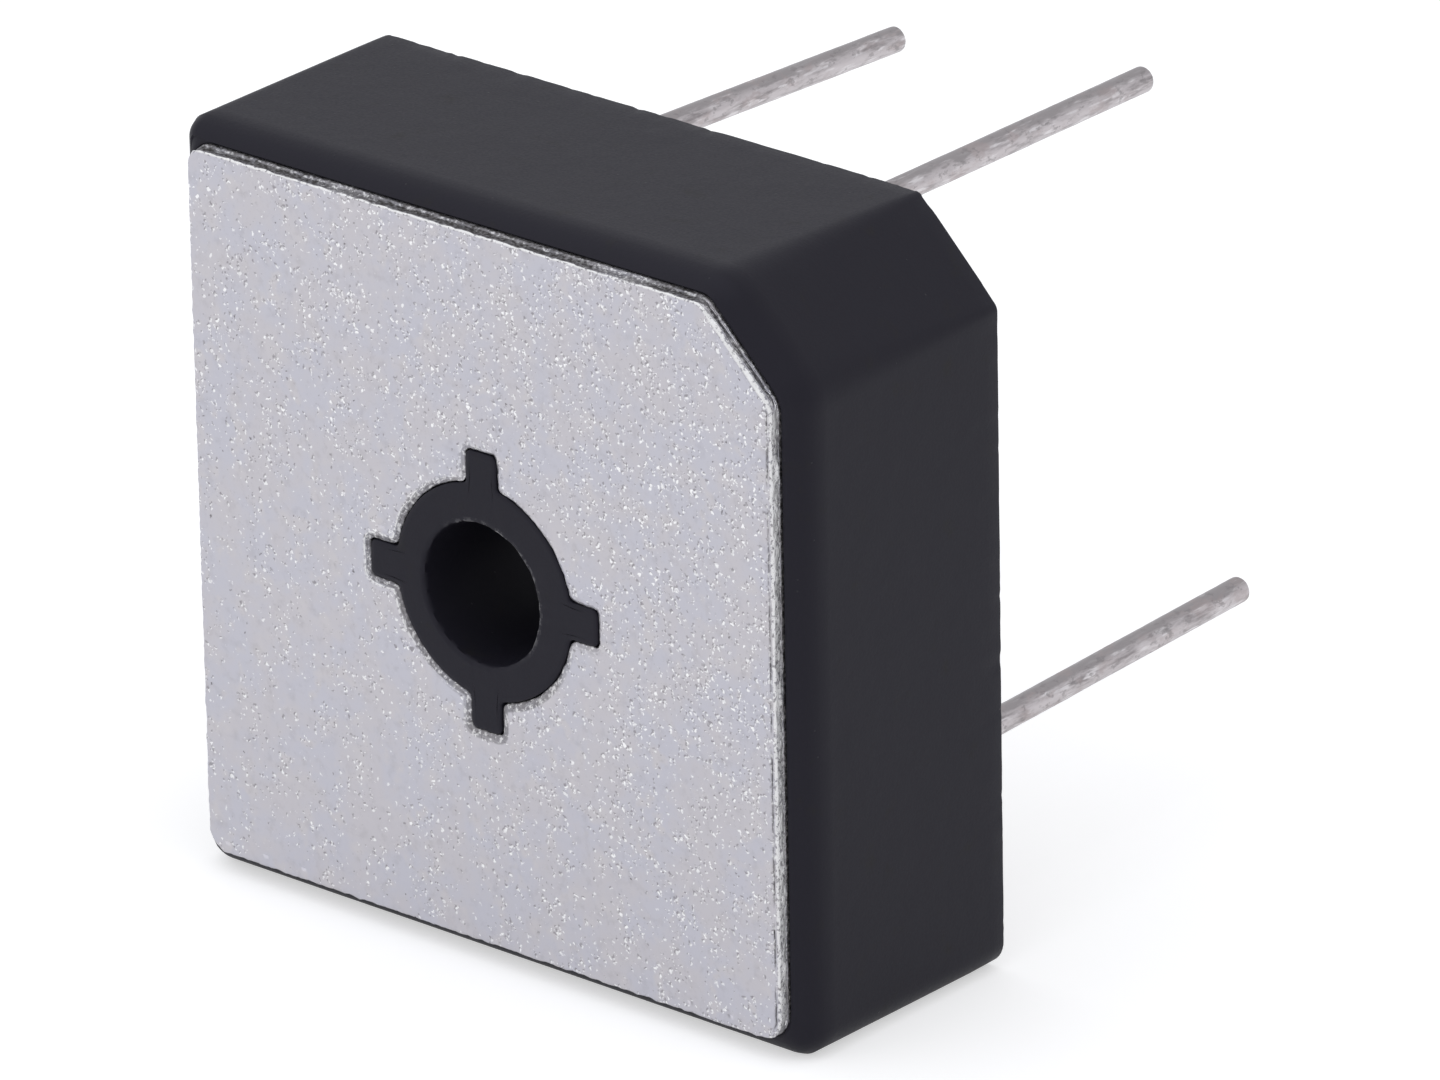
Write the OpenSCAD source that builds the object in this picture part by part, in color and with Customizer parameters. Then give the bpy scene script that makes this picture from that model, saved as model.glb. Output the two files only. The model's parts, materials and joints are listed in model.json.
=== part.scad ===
// Single-phase bridge rectifier in the square wire-lead package that screws down on a heatsink.
// It stands on its lower side: the base plate faces -Y, the leads point to +Y and +Z is up.
// The origin is on the axis of the screw hole, at the outer face of the base plate.
// Each piece is drawn lying on the plate, with x to the right, y up and z away from the plate,
// and stood_up() then turns its z into the depth.

/* [Case] */
// Side of the square case
case_w = 28.5; // [28:0.1:30]
// Height from the plate's outer face to the rim on the lead side
case_h = 11.1; // [10:0.1:12.5]
// Leg of the case's cut corner, which marks the plus lead
case_cut = 3.45; // [2.9:0.05:4]
// Radius of the edge round the plate and of the corners next to it
case_round = 1.1; // [0.8:0.05:1.3]
// Radius of the four corners at the rim
case_rim_round = 0.65; // [0.5:0.05:1.2]
// Wall round the filling
case_wall = 1.5; // [1.3:0.05:1.7]
// Radius in the corners of the filled space
cavity_round = 0.6; // [0.3:0.1:1]

/* [Base plate] */
// Side of the square plate
plate_w = 26.9; // [26.5:0.1:27.1]
// Thickness of the plate
plate_t = 1.2; // [1:0.1:1.6]
// How far the plate stands proud of the case
plate_proud = 0.4; // [0.2:0.05:0.6]
// Leg of the plate's cut corner
plate_cut = 3.1; // [2.8:0.05:3.5]
// Corner radius of the plate
plate_round = 0.9; // [0.6:0.05:1.1]
// Radius of the rolled edge that blanking leaves on the outer face
plate_roll = 0.15; // [0.05:0.05:0.25]
// Gap between the plate and the case all round
plate_fit = 0.05; // [0.02:0.01:0.1]

/* [Boss and screw hole] */
// Diameter of the screw hole
hole_d = 5.3; // [5.1:0.05:5.6]
// Diameter of the boss round the hole
boss_d = 8.06; // [7.8:0.02:8.6]
// Width of the four keys
key_w = 1.4; // [1.2:0.05:1.8]
// Distance from the hole's axis to the end of a key
key_reach = 5.25; // [5:0.05:5.6]
// How deep the boss lies below the plate's outer face
boss_sink = 0.04; // [0.02:0.01:0.3]
// Gap between the plate and the boss
boss_fit = 0.1; // [0.03:0.01:0.15]
// Thickness of the ribs that tie the boss to the walls
rib_t = 1.4; // [1:0.1:1.8]
// Filling between the straps and the ribs
rib_gap = 0.8; // [0.5:0.1:1.2]
// Filling over the ribs
rib_cover = 1; // [0.5:0.1:1.5]

/* [Insulator] */
// Thickness of the ceramic sheet
insulator_t = 0.5; // [0.4:0.05:0.8]
// Gap from the sheet to the case wall
insulator_gap = 0.5; // [0.3:0.05:0.6]
// Gap from the sheet to the boss
boss_gap = 0.3; // [0.2:0.05:0.5]

/* [Copper] */
// Thickness of the two busbars
bar_t = 0.8; // [0.6:0.05:1]
// Width of the busbars' arms
bar_w = 5.6; // [5.4:0.1:5.8]
// Bare ceramic outside the busbars
bar_margin = 0.85; // [0.7:0.05:0.95]
// Leg of the cut on the plus busbar's outer corner
bar_cut = 2; // [1:0.1:2.5]
// Thickness of the two straps
strap_t = 0.6; // [0.4:0.05:0.8]
// Width of the straps' arms
strap_w = 5; // [4.8:0.1:5.2]
// Height of the round pads that the straps stand on
pad_h = 0.3; // [0.2:0.05:0.5]
// Diameter of the pads
pad_d = 3.4; // [2.8:0.1:3.7]

/* [Chips and solder] */
// Side of a chip
chip_w = 4; // [3.8:0.1:4.3]
// Thickness of a chip
chip_t = 0.3; // [0.2:0.02:0.4]
// Cut on a chip's corners
chip_cut = 0.4; // [0.2:0.05:0.6]
// Solder layer under and over a chip
solder_t = 0.1; // [0.05:0.01:0.15]
// Copper that shows past a chip at the end of an arm
arm_over = 0.5; // [0.3:0.05:0.7]
// How far the chip beside the plus lead moves over to make room
chip_shift = 4; // [3.8:0.1:4.3]

/* [Leads] */
// Diameter of the wire
lead_d = 1; // [0.96:0.01:1.08]
// How much the solder dip adds to the wire's radius outside the filling
dip_t = 0.02; // [0.01:0.01:0.04]
// Bare wire between the filling and the solder dip
dip_gap = 0.1; // [0.05:0.05:0.4]
// Length over which the solder dip thins out
dip_fade = 0.6; // [0.4:0.1:1.5]
// Spacing of the leads at the corners of their square
lead_pitch = 18.2; // [17.8:0.05:18.4]
// Spacing from the plus lead to its neighbour
plus_pitch = 11.65; // [11.2:0.05:11.9]
// How far the four leads sit off the middle, across and up
lead_shift = [-0.1, 0.35]; // [-0.4:0.05:0.4]
// Length of the plus lead past the rim
plus_length = 22.9; // [15:0.1:32]
// Length of the minus lead past the rim
minus_length = 22.2; // [15:0.1:32]
// Length of the first AC lead past the rim
ac_1_length = 22.2; // [15:0.1:32]
// Length of the second AC lead past the rim
ac_2_length = 21; // [15:0.1:32]
// Lean of the plus lead in degrees, across and up
plus_lean = [0, 0.2]; // [-4:0.1:4]
// Lean of the minus lead
minus_lean = [0.6, 0.5]; // [-4:0.1:4]
// Lean of the first AC lead
ac_1_lean = [1.2, -1.5]; // [-4:0.1:4]
// Lean of the second AC lead
ac_2_lean = [-1, 1.4]; // [-4:0.1:4]
// Radius on the cut end of a lead
tip_round = 0.22; // [0.1:0.02:0.4]
// Diameter of the nail head at the foot of a lead
head_d = 2.1; // [1.8:0.05:2.2]
// Thickness of the nail head
head_t = 0.5; // [0.3:0.05:0.7]
// Width of the solder fillet round the nail head
joint_w = 0.4; // [0.2:0.05:0.5]

/* [Filling] */
// How deep the filling lies below the rim
potting_sink = 0.5; // [0.2:0.05:1]

/* [Hidden] */
$fn = 64;
hull_fn = 32;
arc_steps = 6;
eps = 0.01;
round_loss = 2 - sqrt(2);
roll_bite = 0.02;
cut_over = 1;

// Half widths of the filled space, the ceramic sheet and the copper on it
cavity_half = case_w / 2 - case_wall;
cavity_cut = case_cut - round_loss * case_wall;
pocket_half = plate_w / 2 + plate_fit;
pocket_cut = plate_cut + round_loss * plate_fit;
insulator_half = cavity_half - insulator_gap;
bar_out = insulator_half - bar_margin;
bar_in = bar_out - bar_w;
bar_mid = (bar_out + bar_in) / 2;
strap_out = bar_mid + strap_w / 2;
strap_in = bar_mid - strap_w / 2;

// Heights of the stack from the plate up
bar_z = plate_t + insulator_t;
lower_solder_z = bar_z + bar_t;
chip_z = lower_solder_z + solder_t;
upper_solder_z = chip_z + chip_t;
pad_z = upper_solder_z + solder_t;
strap_z = pad_z + pad_h;
strap_top = strap_z + strap_t;
rib_z = strap_top + rib_gap;
potting_top = case_h - potting_sink;
rib_top = potting_top - rib_cover;

// Chip places: top, right, left and bottom side of the ring round the boss
chip_end = chip_w / 2 + arm_over;
chip_at = [[-chip_shift, bar_mid], [bar_mid, 0], [-bar_mid, 0], [0, -bar_mid]];

// Lead places
lead_left = lead_shift[0] - lead_pitch / 2;
lead_right = lead_shift[0] + lead_pitch / 2;
lead_high = lead_shift[1] + lead_pitch / 2;
lead_low = lead_shift[1] - lead_pitch / 2;
plus_at = [lead_left + plus_pitch, lead_high];
minus_at = [lead_left, lead_low];
ac_1_at = [lead_left, lead_high];
ac_2_at = [lead_right, lead_low];

// Turns a piece drawn lying on the plate into its standing place
module stood_up() {
  mirror([0, 1, -1]) children();
}

// Corners of a square with its upper right corner cut off, from its lower left one round
function cut_square(half, cut) = [
  [-half, -half], [half, -half], [half, half - cut], [half - cut, half], [-half, half]
];

// Direction in which each of those corners starts to round, and how far it turns
corner_start = [180, 270, 0, 45, 90];
corner_turn = [90, 90, 45, 45, 90];

// Centres of the corner arcs of a cut square whose outline lies radius outside them
function arc_centres(half, cut, radius) = cut_square(half - radius, cut - round_loss * radius);

// Outline of the cut square with round corners
function round_outline(half, cut, radius) =
  let (centres = arc_centres(half, cut, radius))
  [for (i = [0 : len(centres) - 1], k = [0 : arc_steps])
    let (angle = corner_start[i] + corner_turn[i] * k / arc_steps)
    centres[i] + radius * [cos(angle), sin(angle)]];

// A block of that outline with plain edges
module plain_block(half, cut, radius, z0, z1) {
  translate([0, 0, z0]) linear_extrude(z1 - z0) polygon(round_outline(half, cut, radius));
}

// The same with its lower outer edge rolled off, and with corners of another radius at its top:
// the hull of a round foot and a disc in each corner
module rolled_block(half, cut, radius, top_radius, roll, z0, z1) {
  hull() {
    for (at = arc_centres(half, cut, radius))
      translate([at[0], at[1], z0]) rotate_extrude($fn = hull_fn) {
        translate([radius - roll, roll]) intersection() {
          circle(roll);
          translate([0, -roll]) square(roll);
        }
        if (radius > roll) square([radius - roll, roll]);
      }
    for (at = arc_centres(half, cut, top_radius))
      translate([at[0], at[1], z1 - eps]) cylinder(r = top_radius, h = eps, $fn = hull_fn);
  }
}

// Outline of the boss with its four keys
module boss_outline() {
  circle(boss_d / 2);
  for (turn = [0, 90])
    rotate(turn) square([2 * key_reach, key_w], center = true);
}

// Section of a hole through the plate from its axis out to reach, with the outer edge rolled off
module rolled_section(reach) {
  translate([0, -cut_over]) square([reach, plate_t + 2 * cut_over]);
  difference() {
    translate([0, -cut_over]) square([reach + plate_roll, cut_over + plate_roll - roll_bite]);
    translate([reach + plate_roll, plate_roll - roll_bite]) circle(plate_roll);
  }
}

// A straight hole of that section on both sides, along x
module rolled_slot(reach, length) {
  rotate([90, 0, 90]) linear_extrude(length, center = true) {
    rolled_section(reach);
    mirror([1, 0]) rolled_section(reach);
  }
}

// The plate's hole for the boss and its keys
module keyed_hole() {
  rotate_extrude() rolled_section(boss_d / 2 + boss_fit);
  for (turn = [0, 90])
    rotate(turn) intersection() {
      rolled_slot(key_w / 2 + boss_fit, case_w);
      rotate(90) rolled_slot(key_reach + boss_fit, case_w);
    }
}

// What stands in the middle of the filled space: the boss's sleeve and the ribs that hold it
module core_solid(rib_reach) {
  translate([0, 0, boss_sink]) cylinder(d = boss_d, h = case_h - boss_sink);
  translate([0, 0, rib_z]) linear_extrude(rib_top - rib_z)
    for (turn = [0, 90])
      rotate(turn) square([2 * rib_reach, rib_t], center = true);
}

module case_solid() {
  difference() {
    rolled_block(case_w / 2, case_cut, case_round, case_rim_round, case_round, plate_proud, case_h);
    plain_block(pocket_half, pocket_cut, plate_round + plate_fit, -cut_over, plate_t);
    plain_block(cavity_half, cavity_cut, cavity_round, 0, case_h + cut_over);
  }
  difference() {
    union() {
      translate([0, 0, boss_sink]) linear_extrude(plate_t - boss_sink) boss_outline();
      core_solid(cavity_half + case_wall / 2);
    }
    cylinder(d = hole_d, h = 3 * case_h, center = true);
  }
}

module case() {
  color("#2b2b30") stood_up() case_solid();
}

module base_plate() {
  color("#c3c1c8") stood_up() difference() {
    rolled_block(plate_w / 2, plate_cut, plate_round, plate_round, plate_roll, 0, plate_t);
    keyed_hole();
  }
}

module insulator_solid() {
  translate([0, 0, plate_t]) linear_extrude(insulator_t) difference() {
    polygon(cut_square(insulator_half, cavity_cut - round_loss * insulator_gap));
    circle(boss_d / 2 + boss_gap);
  }
}

module insulator() {
  color("#f1efe8") stood_up() insulator_solid();
}

// The busbar under the cathodes: top and right arm, joined at the cut corner
module plus_busbar_solid() {
  arm_left = -chip_shift - chip_end;
  translate([0, 0, bar_z]) linear_extrude(bar_t) polygon([
    [arm_left, bar_in], [bar_in, bar_in], [bar_in, -chip_end], [bar_out, -chip_end],
    [bar_out, bar_out - bar_cut], [bar_out - bar_cut, bar_out], [arm_left, bar_out]
  ]);
}

// The busbar under the anodes: left and bottom arm
module minus_busbar_solid() {
  translate([0, 0, bar_z]) linear_extrude(bar_t) polygon([
    [-bar_out, -bar_out], [chip_end, -bar_out], [chip_end, -bar_in],
    [-bar_in, -bar_in], [-bar_in, chip_end], [-bar_out, chip_end]
  ]);
}

module plus_busbar() {
  color("#b87345") stood_up() plus_busbar_solid();
}

module minus_busbar() {
  color("#b87345") stood_up() minus_busbar_solid();
}

module chip_outline(side) {
  half = side / 2;
  inner = half - chip_cut;
  polygon([
    [-inner, -half], [inner, -half], [half, -inner], [half, inner],
    [inner, half], [-inner, half], [-half, inner], [-half, -inner]
  ]);
}

module lower_solder_solid(i) {
  translate([chip_at[i][0], chip_at[i][1], lower_solder_z]) linear_extrude(solder_t) chip_outline(chip_w);
}

module chip_solid(i) {
  translate([chip_at[i][0], chip_at[i][1], chip_z]) linear_extrude(chip_t) chip_outline(chip_w);
}

module upper_solder_solid(i) {
  translate([chip_at[i][0], chip_at[i][1], upper_solder_z]) cylinder(d = pad_d, h = solder_t);
}

module lower_solder(i) {
  color("#a9abae") stood_up() lower_solder_solid(i);
}

module diode_chip(i) {
  color("#4a4f5c") stood_up() chip_solid(i);
}

module upper_solder(i) {
  color("#a9abae") stood_up() upper_solder_solid(i);
}

module pad_solid(i) {
  translate([chip_at[i][0], chip_at[i][1], pad_z]) cylinder(d = pad_d, h = pad_h + eps);
}

// The strap over the first and third chip: top and left arm
module ac_strap_1_solid() {
  arm_right = -chip_shift + chip_end;
  translate([0, 0, strap_z]) linear_extrude(strap_t) polygon([
    [-strap_out, -chip_end], [-strap_in, -chip_end], [-strap_in, strap_in],
    [arm_right, strap_in], [arm_right, strap_out], [-strap_out, strap_out]
  ]);
  pad_solid(0);
  pad_solid(2);
}

// The strap over the second and fourth chip: right and bottom arm
module ac_strap_2_solid() {
  translate([0, 0, strap_z]) linear_extrude(strap_t) polygon([
    [-chip_end, -strap_out], [strap_out, -strap_out], [strap_out, chip_end],
    [strap_in, chip_end], [strap_in, -strap_in], [-chip_end, -strap_in]
  ]);
  pad_solid(1);
  pad_solid(3);
}

module ac_strap_1() {
  color("#c07a4b") stood_up() ac_strap_1_solid();
}

module ac_strap_2() {
  color("#c07a4b") stood_up() ac_strap_2_solid();
}

// Solder fillet round a nail head that stands at height foot
module joint_solid(at, foot) {
  translate([at[0], at[1], foot]) rotate_extrude()
    polygon([[head_d / 2, 0], [head_d / 2 + joint_w, 0], [head_d / 2, head_t]]);
}

// A wire that leans from its foot on. What is clear of the filling has been dipped in solder,
// which thins out towards the filling.
module wire_solid(at, foot, length, lean) {
  start = foot + head_t / 2;
  fade = potting_top + dip_gap - start;
  dip = fade + dip_fade;
  end = case_h + length - start;
  translate([at[0], at[1], start]) rotate([-lean[1], lean[0], 0]) rotate_extrude() {
    polygon([
      [0, 0], [lead_d / 2 - dip_t, 0], [lead_d / 2 - dip_t, fade], [lead_d / 2, dip],
      [lead_d / 2, end - tip_round], [lead_d / 2 - tip_round, end - tip_round],
      [lead_d / 2 - tip_round, end], [0, end]
    ]);
    translate([lead_d / 2 - tip_round, end - tip_round]) intersection() {
      circle(tip_round);
      square(tip_round);
    }
  }
}

module lead_solid(at, foot, length, lean) {
  translate([at[0], at[1], foot]) cylinder(d = head_d, h = head_t);
  wire_solid(at, foot, length, lean);
}

module joint(at, foot) {
  color("#a9abae") stood_up() joint_solid(at, foot);
}

module lead(at, foot, length, lean) {
  color("#b5b0af") stood_up() lead_solid(at, foot, length, lean);
}

// Everything that the filling closes round
module filled_in() {
  core_solid(cavity_half + case_wall / 2);
  insulator_solid();
  plus_busbar_solid();
  minus_busbar_solid();
  for (i = [0 : 3]) {
    lower_solder_solid(i);
    chip_solid(i);
    upper_solder_solid(i);
  }
  ac_strap_1_solid();
  ac_strap_2_solid();
  foot_and_wire(plus_at, lower_solder_z, plus_length, plus_lean);
  foot_and_wire(minus_at, lower_solder_z, minus_length, minus_lean);
  foot_and_wire(ac_1_at, strap_top, ac_1_length, ac_1_lean);
  foot_and_wire(ac_2_at, strap_top, ac_2_length, ac_2_lean);
}

module foot_and_wire(at, foot, length, lean) {
  joint_solid(at, foot);
  lead_solid(at, foot, length, lean);
}

module potting_compound() {
  color("#26262a") stood_up() difference() {
    plain_block(cavity_half, cavity_cut, cavity_round, plate_t, potting_top);
    filled_in();
  }
}

case();
base_plate();
insulator();
plus_busbar();
minus_busbar();
lower_solder(0);  // lower_solder_1
lower_solder(1);  // lower_solder_2
lower_solder(2);  // lower_solder_3
lower_solder(3);  // lower_solder_4
diode_chip(0);  // diode_chip_1
diode_chip(1);  // diode_chip_2
diode_chip(2);  // diode_chip_3
diode_chip(3);  // diode_chip_4
upper_solder(0);  // upper_solder_1
upper_solder(1);  // upper_solder_2
upper_solder(2);  // upper_solder_3
upper_solder(3);  // upper_solder_4
ac_strap_1();
ac_strap_2();
joint(plus_at, lower_solder_z);  // plus_joint
joint(minus_at, lower_solder_z);  // minus_joint
joint(ac_1_at, strap_top);  // ac_joint_1
joint(ac_2_at, strap_top);  // ac_joint_2
lead(plus_at, lower_solder_z, plus_length, plus_lean);  // lead_plus
lead(minus_at, lower_solder_z, minus_length, minus_lean);  // lead_minus
lead(ac_1_at, strap_top, ac_1_length, ac_1_lean);  // lead_ac_1
lead(ac_2_at, strap_top, ac_2_length, ac_2_lean);  // lead_ac_2
potting_compound();
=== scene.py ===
import json
import math
import bmesh
import bpy
from mathutils import Matrix, Vector, noise
from mathutils.geometry import delaunay_2d_cdt, tessellate_polygon


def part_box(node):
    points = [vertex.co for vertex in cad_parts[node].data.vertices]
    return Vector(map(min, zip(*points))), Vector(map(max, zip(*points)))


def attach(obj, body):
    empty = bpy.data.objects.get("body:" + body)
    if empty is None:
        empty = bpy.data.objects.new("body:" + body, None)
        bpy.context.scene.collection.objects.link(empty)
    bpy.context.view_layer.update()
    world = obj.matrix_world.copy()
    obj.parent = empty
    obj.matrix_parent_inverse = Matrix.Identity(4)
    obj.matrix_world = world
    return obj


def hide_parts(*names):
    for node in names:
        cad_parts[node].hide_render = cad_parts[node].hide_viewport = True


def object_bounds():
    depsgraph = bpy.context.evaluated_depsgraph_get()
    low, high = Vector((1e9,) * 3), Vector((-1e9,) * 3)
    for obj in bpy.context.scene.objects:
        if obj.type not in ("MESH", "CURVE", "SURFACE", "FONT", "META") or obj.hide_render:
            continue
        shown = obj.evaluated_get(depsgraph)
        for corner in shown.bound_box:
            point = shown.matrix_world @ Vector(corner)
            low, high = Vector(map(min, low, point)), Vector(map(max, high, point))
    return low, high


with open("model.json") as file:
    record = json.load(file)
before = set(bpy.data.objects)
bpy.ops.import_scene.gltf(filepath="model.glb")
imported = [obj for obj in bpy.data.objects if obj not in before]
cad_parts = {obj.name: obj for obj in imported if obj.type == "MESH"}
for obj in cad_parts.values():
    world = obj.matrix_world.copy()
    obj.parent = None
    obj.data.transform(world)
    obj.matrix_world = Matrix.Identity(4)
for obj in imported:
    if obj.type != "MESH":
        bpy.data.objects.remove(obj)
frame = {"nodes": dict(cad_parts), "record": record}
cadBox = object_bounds()

mm = 0.001
print("frame loaded:", len(frame["nodes"]), "nodes")


class Value:
    # wraps one node output, so that plain arithmetic adds Math nodes
    def __init__(self, tree, socket=None):
        self.tree = tree
        self.socket = socket

    def node(self, kind, settings=None, inputs=None, output=0):
        made = self.tree.nodes.new(kind)
        for name, setting in (settings or {}).items():
            setattr(made, name, setting)
        for name, given in (inputs or {}).items():
            if isinstance(given, Value):
                self.tree.links.new(given.socket, made.inputs[name])
            else:
                made.inputs[name].default_value = given
        return Value(self.tree, made.outputs[output])

    def math(self, operation, first, second):
        return self.node("ShaderNodeMath", {"operation": operation}, {0: first, 1: second})

    def __add__(self, other):
        return self.math("ADD", self, other)

    def __radd__(self, other):
        return self.math("ADD", other, self)

    def __sub__(self, other):
        return self.math("SUBTRACT", self, other)

    def __rsub__(self, other):
        return self.math("SUBTRACT", other, self)

    def __mul__(self, other):
        return self.math("MULTIPLY", self, other)

    def __rmul__(self, other):
        return self.math("MULTIPLY", other, self)

    def __truediv__(self, other):
        return self.math("DIVIDE", self, other)

    def __rtruediv__(self, other):
        return self.math("DIVIDE", other, self)

    def __gt__(self, other):
        return self.math("GREATER_THAN", self, other)

    def __lt__(self, other):
        return self.math("LESS_THAN", self, other)

    def smallest(self, other):
        return self.math("MINIMUM", self, other)

    def largest(self, other):
        return self.math("MAXIMUM", self, other)

    def scaled(self, by):
        # a position times a number or a vector
        factor = (by, by, by) if isinstance(by, (int, float)) else by
        return self.node("ShaderNodeVectorMath", {"operation": "MULTIPLY"}, {0: self, 1: factor})

    def moved(self, by):
        return self.node("ShaderNodeVectorMath", {"operation": "ADD"}, {0: self, 1: by})

    def noise(self, scale, detail=2.0, rough=0.5, output=0):
        return self.node("ShaderNodeTexNoise", {}, {
            "Vector": self, "Scale": scale, "Detail": detail, "Roughness": rough}, output)

    def cells(self, scale, output="Distance"):
        return self.node("ShaderNodeTexVoronoi", {}, {"Vector": self, "Scale": scale}, output)

    def step(self, low, high):
        # 0 below low, 1 above high, smooth between them
        return self.node("ShaderNodeMapRange", {"interpolation_type": "SMOOTHSTEP"}, {
            "Value": self, "From Min": low, "From Max": high})

    def part(self, axis):
        return self.node("ShaderNodeSeparateXYZ", {}, {0: self}, axis)

    def blend(self, first, second):
        # this value as the factor between two colours
        return self.node("ShaderNodeMix", {"data_type": "RGBA"}, {0: self, 6: first, 7: second}, 2)

    def edgeMarks(self):
        # the marks that addPiece stores with each point: wear, and on the plate also painted shade and
        # painted highlight
        return self.node("ShaderNodeAttribute", {"attribute_name": "edge"}, output="Fac")

    def bump(self):
        # this value as a height in mm
        return self.node("ShaderNodeBump", {}, {"Strength": 1.0, "Distance": mm, "Height": self})


def newMaterial(name, plain):
    # a Principled material with its plain values set, and the position in mm to work from
    material = bpy.data.materials.new(name)
    material.use_nodes = True
    shader = material.node_tree.nodes["Principled BSDF"]
    for socket, value in plain.items():
        shader.inputs[socket].default_value = value
    root = Value(material.node_tree)
    place = root.node("ShaderNodeTexCoord", output="Object").scaled(1 / mm)
    return material, shader, place


def feed(shader, socket, value):
    value.tree.links.new(value.socket, shader.inputs[socket])


plateFinish = {
    "nickel": (0.603, 0.583, 0.614, 1.0),
    "violet": (0.585, 0.580, 0.638, 1.0),
    "warm": (0.622, 0.600, 0.622, 1.0),
    # painted highlight: the white of the glints
    "paintedGlint": (1.0, 1.0, 1.0, 1.0),
    "shade": (0.230, 0.215, 0.230, 1.0),
    "pit": (0.110, 0.100, 0.100, 1.0),
    "darkRimAndShade": (0.050, 0.046, 0.044, 1.0),
    "brightRimAndHighlight": (0.960, 0.955, 0.945, 1.0),
    "roughness": 0.40,
    # painted glints, each with painted shade beside it: cells per mm, size of the smallest, what the largest
    # adds, share of cells that have one
    "paintedSparkles": [(3.4, 0.10, 0.28, 0.50), (5.3, 0.16, 0.30, 0.52), (8.0, 0.26, 0.30, 0.24)],
    "warp": 0.34,  # mm that their outlines are bent by
    "paintedShadeShift": (0.05, 0.0, -0.055),  # from a painted glint to the painted shade beside it
}


def spots(at, perMm, small, large, inner, outer):
    # round spots, one to a cell and each of its own size, and a chance for each cell
    drawn = at.cells(perMm, "Color")
    near = at.cells(perMm) / (small + drawn.part(1) * large)
    return 1 - near.step(inner, outer), drawn.part(0)


def nickelPlate():
    f = plateFinish
    material, shader, place = newMaterial("nickelPlate", {})
    tone = place.noise(0.45, 3.0, 0.6).step(0.38, 0.62).blend(f["nickel"], f["violet"])
    tone = place.noise(1.1, 2.0).step(0.50, 0.70).blend(tone, f["warm"])
    # painted glints in clusters, fewer at the lower left, with painted shade beside them
    crowd = place.noise(0.55, 3.0, 0.7).step(0.30, 0.70) + place.part(0) * 0.016 + place.part(2) * 0.014
    crowd = crowd.smallest(1.1).largest(0.0)
    grain = place.noise(4.5, 4.0, 0.7)
    warped = place.moved(place.noise(5.0, 3.0, 0.5, "Color").scaled(f["warp"]))
    beside = warped.moved(f["paintedShadeShift"])
    paintedGlint = 0.0
    # painted shade: where the grain noise is high, most where the glints crowd, and beside each painted glint
    shade = grain.step(0.57, 0.72) * (0.10 + crowd * 0.40)
    for perMm, small, large, share in f["paintedSparkles"]:
        spot, chance = spots(warped, perMm, small, large, 0.45, 1.0)
        paintedGlint = (spot * (chance < crowd * share + 0.04) * (0.60 + chance * 1.2)).largest(paintedGlint)
        spot, chance = spots(beside, perMm, small, large, 0.4, 1.1)
        shade = shade.largest(spot * (chance < crowd * share * 0.9))
    tone = (shade * 0.66).blend(tone, f["shade"])
    soft = place.noise(1.9, 3.0, 0.6)
    tone = (soft.step(0.50, 0.72) * 0.14).blend(tone, f["shade"])
    tone = paintedGlint.blend(tone, f["paintedGlint"])
    pit = place.noise(3.4, 2.0, 0.6).step(0.70, 0.76)
    tone = (pit * 0.7).blend(tone, f["pit"])
    # the sheared rim: dull where it tore, bright where the punch rubbed, with painted shade on its upward
    # wall, in its scored groove and down the cut-out's wall, and a painted highlight along its front edge
    edge = place.edgeMarks()
    dull = edge.largest(0.0)
    rubbedAndHighlight = (0 - edge).largest(0.0)
    crumb = place.scaled((1.0, 1.4, 1.0)).noise(6.5, 2.0, 0.6)
    tone = (dull * (1.5 - crumb * 1.3)).blend(tone, f["darkRimAndShade"])
    tone = ((dull - dull * dull) * 2.4 * crumb.step(0.54, 0.62)).blend(tone, f["brightRimAndHighlight"])
    tone = (rubbedAndHighlight * (1 - crumb.step(0.38, 0.52)) * (1.3 - rubbedAndHighlight)).blend(tone, f["darkRimAndShade"])
    tone = (rubbedAndHighlight * (crumb + rubbedAndHighlight * 0.12).step(0.44, 0.58) * 1.2).blend(tone, f["brightRimAndHighlight"])
    feed(shader, "Base Color", tone)
    feed(shader, "Metallic", 1 - dull * 0.35 - rubbedAndHighlight * 0.6)
    feed(shader, "Roughness", f["roughness"] + (grain - 0.5) * 0.12 - paintedGlint * 0.10 + dull * 0.1)
    relief = grain * 0.004 + paintedGlint * 0.004 - shade * 0.004 - pit * 0.012 + (dull + rubbedAndHighlight) * crumb * 0.05
    feed(shader, "Normal", relief.bump())
    return material


mouldingFinish = {
    "black": (0.0140, 0.0132, 0.0195, 1.0),
    "dust": (0.040, 0.040, 0.044, 1.0),
    "scuff": (0.0195, 0.0180, 0.0150, 1.0),
    "worn": (0.420, 0.415, 0.420, 1.0),
    "roughness": 0.46,
    "specks": 3.1,  # cells per mm for the dust
    "noSpeck": 0.93,  # share of the cells that have none
}


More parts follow.
